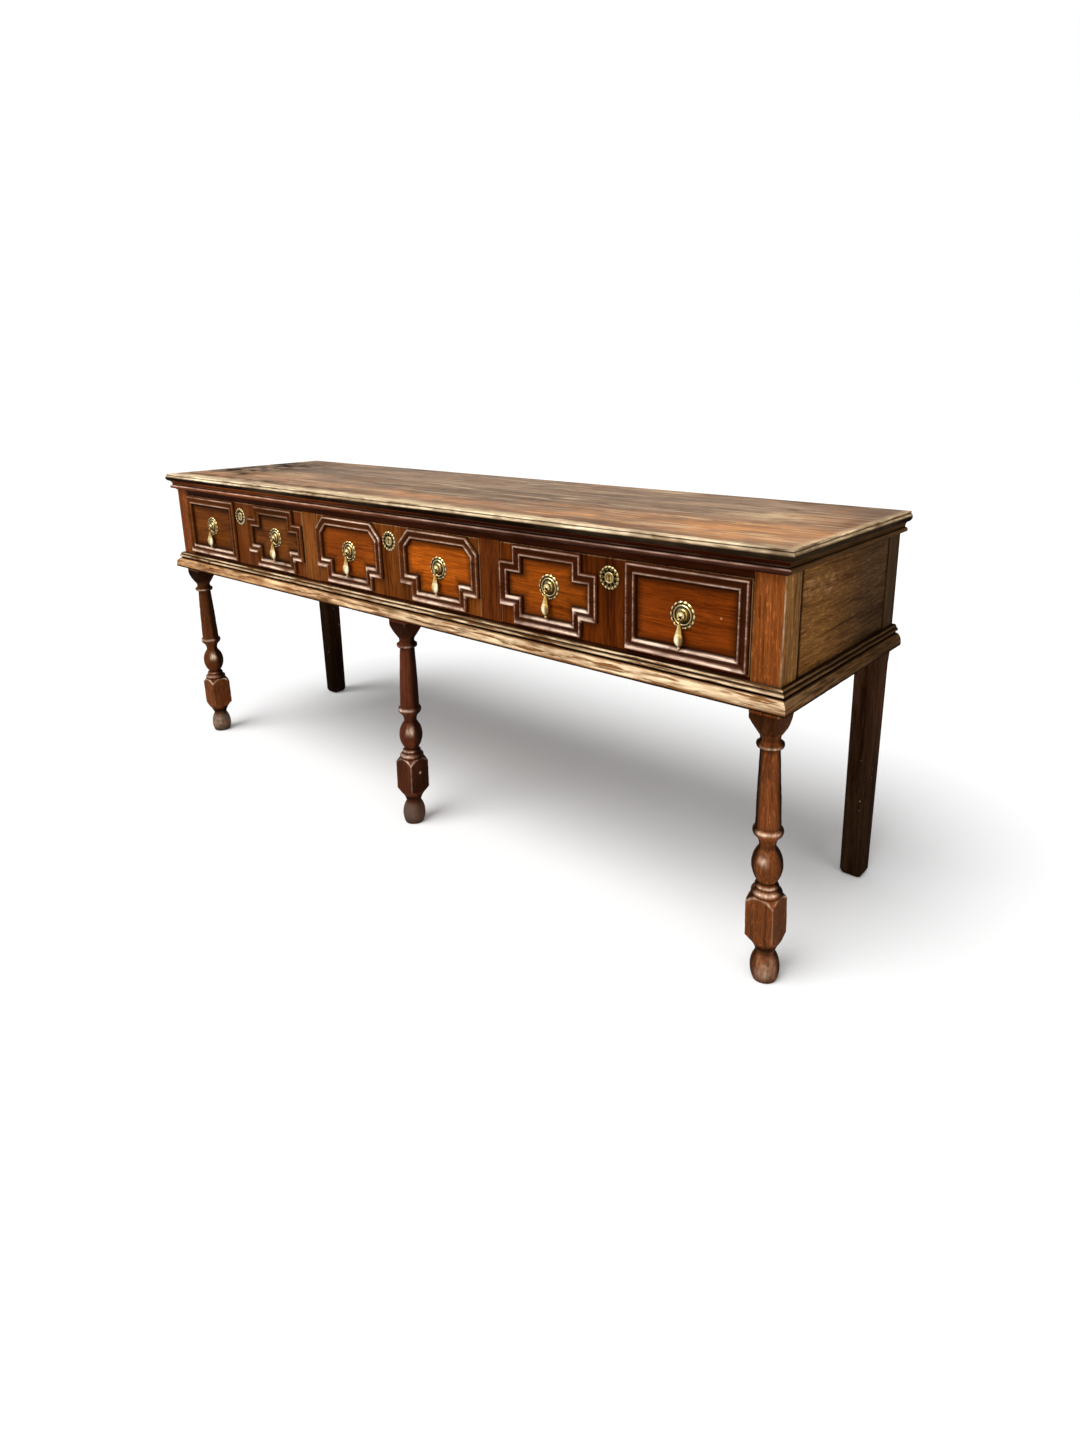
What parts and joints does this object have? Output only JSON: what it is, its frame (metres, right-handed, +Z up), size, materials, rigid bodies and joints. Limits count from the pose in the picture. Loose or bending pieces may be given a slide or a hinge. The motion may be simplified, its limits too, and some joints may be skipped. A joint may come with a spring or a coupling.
{
  "type": "dresser base",
  "caption": "Long low oak dresser base: a moulded plank top over a row of drawers with applied geometric mouldings and brass pear-drop handles, on turned front legs and plain back legs.",
  "frame": {"origin": "on the floor under the middle of the object's box", "axes": "+X along the length to the viewer's right, +Y towards the back, +Z up; the drawers open towards -Y"},
  "size_m": [1.93, 0.497, 0.776],
  "materials": {
    "oak_top": "waxed oak, grey-brown, worn pale along the front edge",
    "oak_frame": "waxed reddish-brown oak",
    "oak_drawer": "waxed orange-brown oak",
    "oak_moulding": "polished dark brown oak with rubbed ridges",
    "oak_worn": "oak worn to a pale gold",
    "oak_end": "dry grey-brown oak",
    "oak_dark": "dark stained oak",
    "oak_inside": "unfinished oak",
    "brass": "rubbed brass with dark patina in the hollows",
    "iron": "dark wrought iron"
  },
  "bodies": {
    "carcase": {"top_board": "oak_top", "front_top_rail": "oak_moulding", "cornice_moulding_left": "oak_moulding", "cornice_moulding_right": "oak_moulding", "base_moulding_front": "oak_worn", "base_moulding_left": "oak_worn", "base_moulding_right": "oak_worn", "front_leg_left": "oak_frame", "front_leg_middle": "oak_frame", "front_leg_right": "oak_frame", "back_leg_left": "oak_dark", "back_leg_right": "oak_dark", "front_bottom_rail": "oak_frame", "end_panel_left": "oak_end", "end_panel_right": "oak_end", "back_panel": "oak_inside", "drawer_divider_left": "oak_frame", "drawer_divider_right": "oak_frame"},
    "drawer_left": {"drawer_left_front": "oak_drawer", "drawer_left_side_left": "oak_inside", "drawer_left_side_right": "oak_inside", "drawer_left_back": "oak_inside", "drawer_left_bottom": "oak_inside", "drawer_left_moulding_left": "oak_moulding", "drawer_left_moulding_right": "oak_moulding", "drawer_left_plate_left": "brass", "drawer_left_plate_right": "brass", "drawer_left_escutcheon": "brass", "drawer_left_lock": "iron"},
    "drawer_left_drop_left": {"drawer_left_drop_left": "brass"},
    "drawer_left_drop_right": {"drawer_left_drop_right": "brass"},
    "drawer_left_lock_bolt": {"drawer_left_lock_bolt": "iron"},
    "drawer_middle": {"drawer_middle_front": "oak_drawer", "drawer_middle_side_left": "oak_inside", "drawer_middle_side_right": "oak_inside", "drawer_middle_back": "oak_inside", "drawer_middle_bottom": "oak_inside", "drawer_middle_moulding_left": "oak_moulding", "drawer_middle_moulding_right": "oak_moulding", "drawer_middle_plate_left": "brass", "drawer_middle_plate_right": "brass", "drawer_middle_escutcheon": "brass", "drawer_middle_lock": "iron"},
    "drawer_middle_drop_left": {"drawer_middle_drop_left": "brass"},
    "drawer_middle_drop_right": {"drawer_middle_drop_right": "brass"},
    "drawer_middle_lock_bolt": {"drawer_middle_lock_bolt": "iron"},
    "drawer_right": {"drawer_right_front": "oak_drawer", "drawer_right_side_left": "oak_inside", "drawer_right_side_right": "oak_inside", "drawer_right_back": "oak_inside", "drawer_right_bottom": "oak_inside", "drawer_right_moulding_left": "oak_moulding", "drawer_right_moulding_right": "oak_moulding", "drawer_right_plate_left": "brass", "drawer_right_plate_right": "brass", "drawer_right_escutcheon": "brass", "drawer_right_lock": "iron"},
    "drawer_right_drop_left": {"drawer_right_drop_left": "brass"},
    "drawer_right_drop_right": {"drawer_right_drop_right": "brass"},
    "drawer_right_lock_bolt": {"drawer_right_lock_bolt": "iron"}
  },
  "joints": [
    {"name": "drawer_left_slide", "type": "slide", "parent": "carcase", "child": "drawer_left", "axis": [0, -1, 0], "range_m": [0, 0.32]},
    {"name": "drawer_left_drop_left_swing", "type": "hinge", "parent": "drawer_left", "child": "drawer_left_drop_left", "pos_m": [-0.76483, -0.2388, 0.637], "axis": [-1, 0, 0], "range_deg": [0, 80]},
    {"name": "drawer_left_drop_right_swing", "type": "hinge", "parent": "drawer_left", "child": "drawer_left_drop_right", "pos_m": [-0.45783, -0.2388, 0.637], "axis": [-1, 0, 0], "range_deg": [0, 80]},
    {"name": "drawer_left_bolt_slide", "type": "slide", "parent": "drawer_left", "child": "drawer_left_lock_bolt", "axis": [0, 0, 1], "range_m": [0, 0.01]},
    {"name": "drawer_middle_slide", "type": "slide", "parent": "carcase", "child": "drawer_middle", "axis": [0, -1, 0], "range_m": [0, 0.32]},
    {"name": "drawer_middle_drop_left_swing", "type": "hinge", "parent": "drawer_middle", "child": "drawer_middle_drop_left", "pos_m": [-0.1535, -0.2388, 0.637], "axis": [-1, 0, 0], "range_deg": [0, 80]},
    {"name": "drawer_middle_drop_right_swing", "type": "hinge", "parent": "drawer_middle", "child": "drawer_middle_drop_right", "pos_m": [0.1535, -0.2388, 0.637], "axis": [-1, 0, 0], "range_deg": [0, 80]},
    {"name": "drawer_middle_bolt_slide", "type": "slide", "parent": "drawer_middle", "child": "drawer_middle_lock_bolt", "axis": [0, 0, 1], "range_m": [0, 0.01]},
    {"name": "drawer_right_slide", "type": "slide", "parent": "carcase", "child": "drawer_right", "axis": [0, -1, 0], "range_m": [0, 0.32]},
    {"name": "drawer_right_drop_left_swing", "type": "hinge", "parent": "drawer_right", "child": "drawer_right_drop_left", "pos_m": [0.46233, -0.2388, 0.64], "axis": [-1, 0, 0], "range_deg": [0, 80]},
    {"name": "drawer_right_drop_right_swing", "type": "hinge", "parent": "drawer_right", "child": "drawer_right_drop_right", "pos_m": [0.76033, -0.2388, 0.634], "axis": [-1, 0, 0], "range_deg": [0, 80]},
    {"name": "drawer_right_bolt_slide", "type": "slide", "parent": "drawer_right", "child": "drawer_right_lock_bolt", "axis": [0, 0, 1], "range_m": [0, 0.01]}
  ]
}
